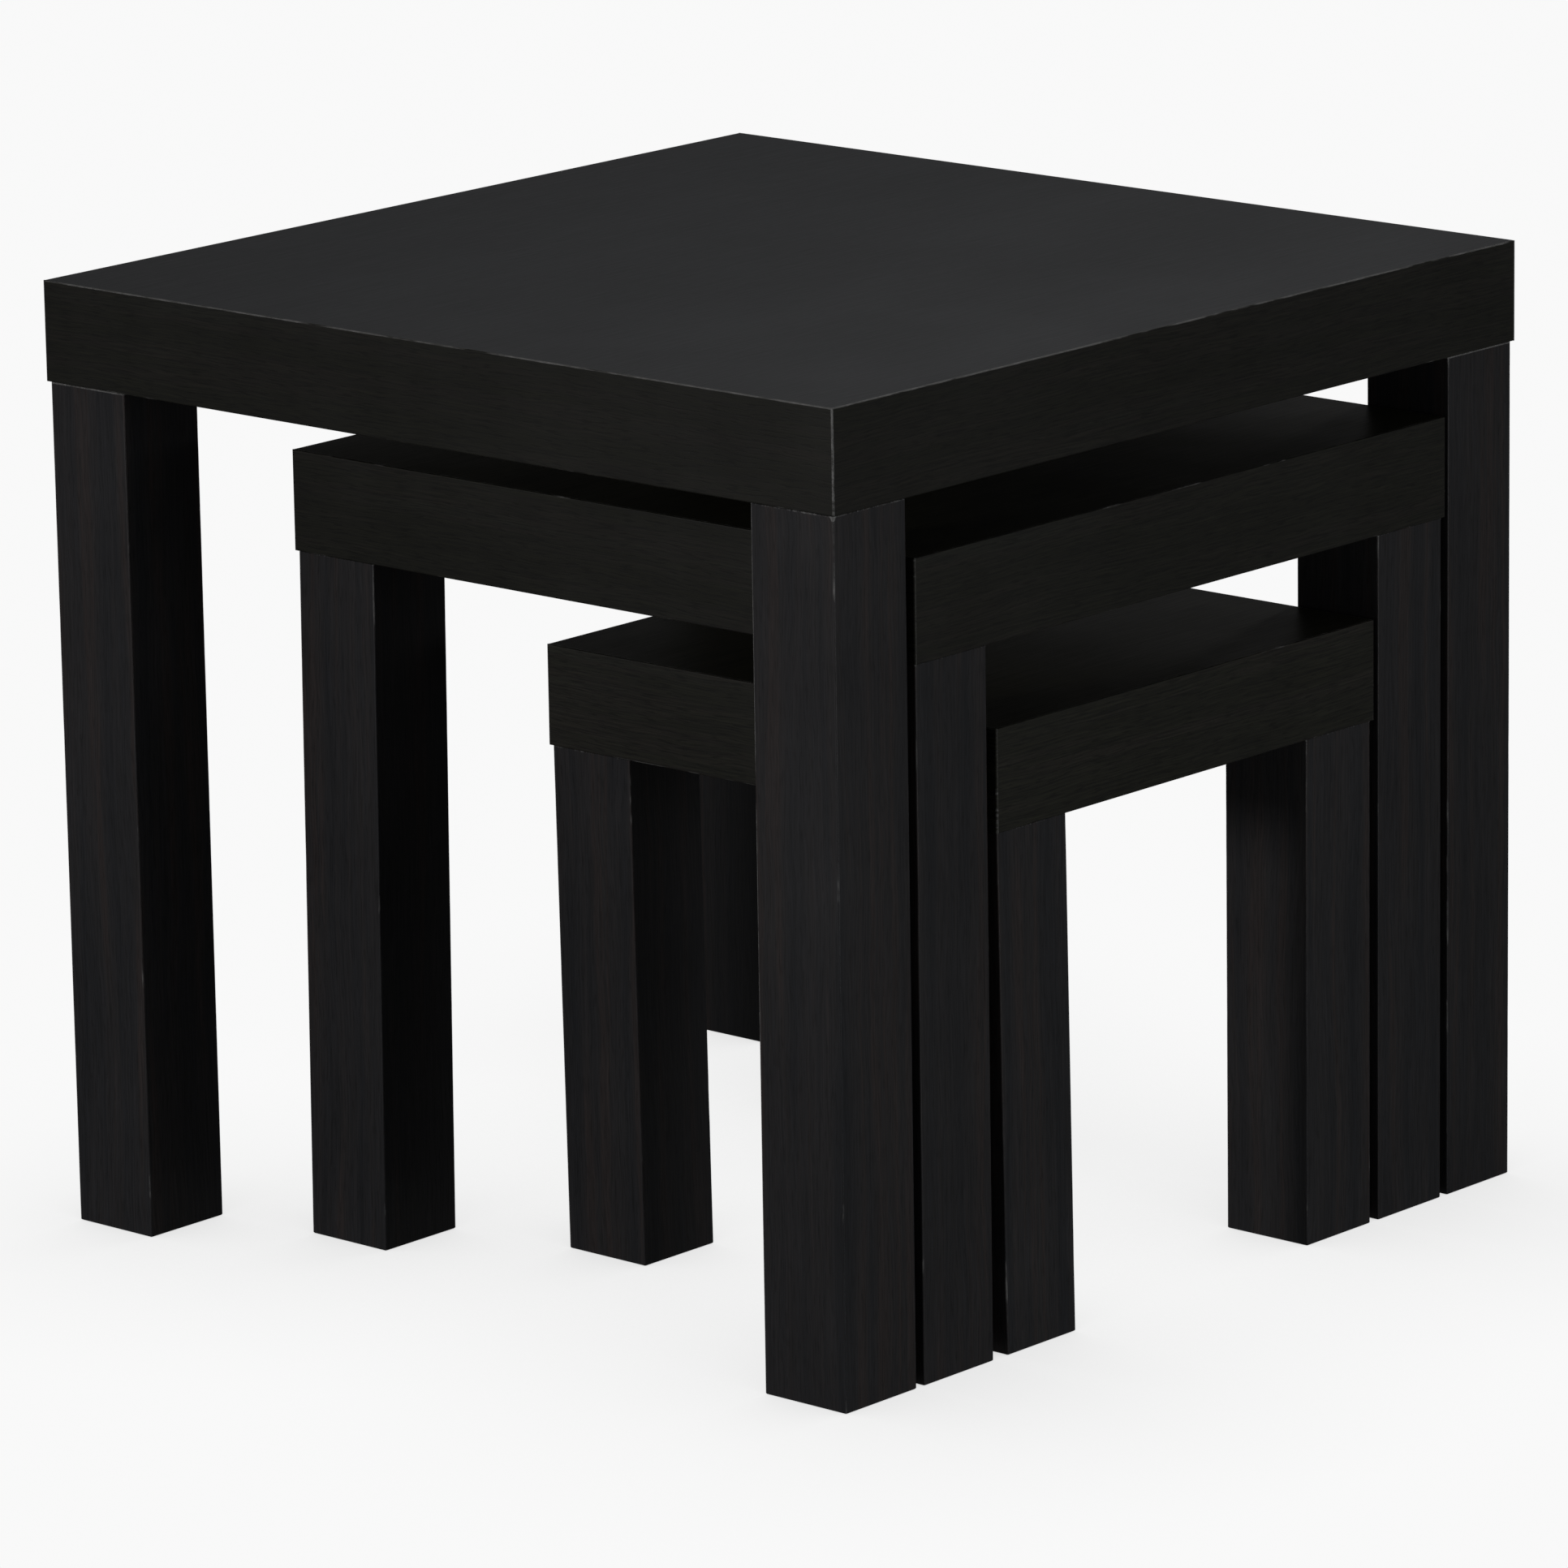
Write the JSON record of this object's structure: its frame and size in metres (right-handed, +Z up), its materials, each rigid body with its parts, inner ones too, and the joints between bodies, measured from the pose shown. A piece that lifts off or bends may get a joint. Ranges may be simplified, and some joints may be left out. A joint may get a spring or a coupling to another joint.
{
  "type": "nesting tables",
  "caption": "Nesting side tables with thick square slab tops on square corner legs; each smaller table slides out from under the next one.",
  "frame": {"origin": "on the floor, at the middle of the large table's plan", "axes": "+X to the right along the front, +Y to the back, +Z up; the tables slide out towards -Y, and their front faces are flush at the front, -Y, at rest"},
  "size_m": [0.508, 0.508, 0.475],
  "materials": {
    "top_foil": "black-brown wood-grain foil on hardboard, satin, fine grain side to side",
    "board_foil": "black-brown foil on hardboard, matt",
    "edge_band": "black-brown wood-grain edge band with eased corners, satin",
    "leg_foil": "black-brown wood-grain foil on board, grain up the leg, satin",
    "chipboard": "bare chipboard",
    "paper_core": "brown kraft paper honeycomb",
    "zinc_steel": "zinc-plated steel"
  },
  "bodies": {
    "large_table": {"large_top_panel": "top_foil", "large_bottom_panel": "board_foil", "large_core": "paper_core", "large_corner_blocks": "chipboard", "large_leg_heads": "chipboard", "large_leg_feet": "chipboard", "large_leg_bolts": "zinc_steel", "large_leg_inserts": "zinc_steel", "large_rail_front": "chipboard", "large_rail_back": "chipboard", "large_rail_left": "chipboard", "large_rail_right": "chipboard", "large_edge_front": "edge_band", "large_edge_back": "edge_band", "large_edge_left": "edge_band", "large_edge_right": "edge_band", "large_leg_front_left": "leg_foil", "large_leg_front_right": "leg_foil", "large_leg_back_left": "leg_foil", "large_leg_back_right": "leg_foil"},
    "mid_table": {"mid_top_panel": "top_foil", "mid_bottom_panel": "board_foil", "mid_core": "paper_core", "mid_corner_blocks": "chipboard", "mid_leg_heads": "chipboard", "mid_leg_feet": "chipboard", "mid_leg_bolts": "zinc_steel", "mid_leg_inserts": "zinc_steel", "mid_rail_front": "chipboard", "mid_rail_back": "chipboard", "mid_rail_left": "chipboard", "mid_rail_right": "chipboard", "mid_edge_front": "edge_band", "mid_edge_back": "edge_band", "mid_edge_left": "edge_band", "mid_edge_right": "edge_band", "mid_leg_front_left": "leg_foil", "mid_leg_front_right": "leg_foil", "mid_leg_back_left": "leg_foil", "mid_leg_back_right": "leg_foil"},
    "small_table": {"small_top_panel": "top_foil", "small_bottom_panel": "board_foil", "small_core": "paper_core", "small_corner_blocks": "chipboard", "small_leg_heads": "chipboard", "small_leg_feet": "chipboard", "small_leg_bolts": "zinc_steel", "small_leg_inserts": "zinc_steel", "small_rail_front": "chipboard", "small_rail_back": "chipboard", "small_rail_left": "chipboard", "small_rail_right": "chipboard", "small_edge_front": "edge_band", "small_edge_back": "edge_band", "small_edge_left": "edge_band", "small_edge_right": "edge_band", "small_leg_front_left": "leg_foil", "small_leg_front_right": "leg_foil", "small_leg_back_left": "leg_foil", "small_leg_back_right": "leg_foil"}
  },
  "joints": [
    {"name": "mid_pull", "type": "slide", "parent": "large_table", "child": "mid_table", "axis": [0, -1, 0], "range_m": [-0.111, 0.425]},
    {"name": "small_pull", "type": "slide", "parent": "large_table", "child": "small_table", "axis": [0, -1, 0], "range_m": [-0.224, 0.735]}
  ]
}
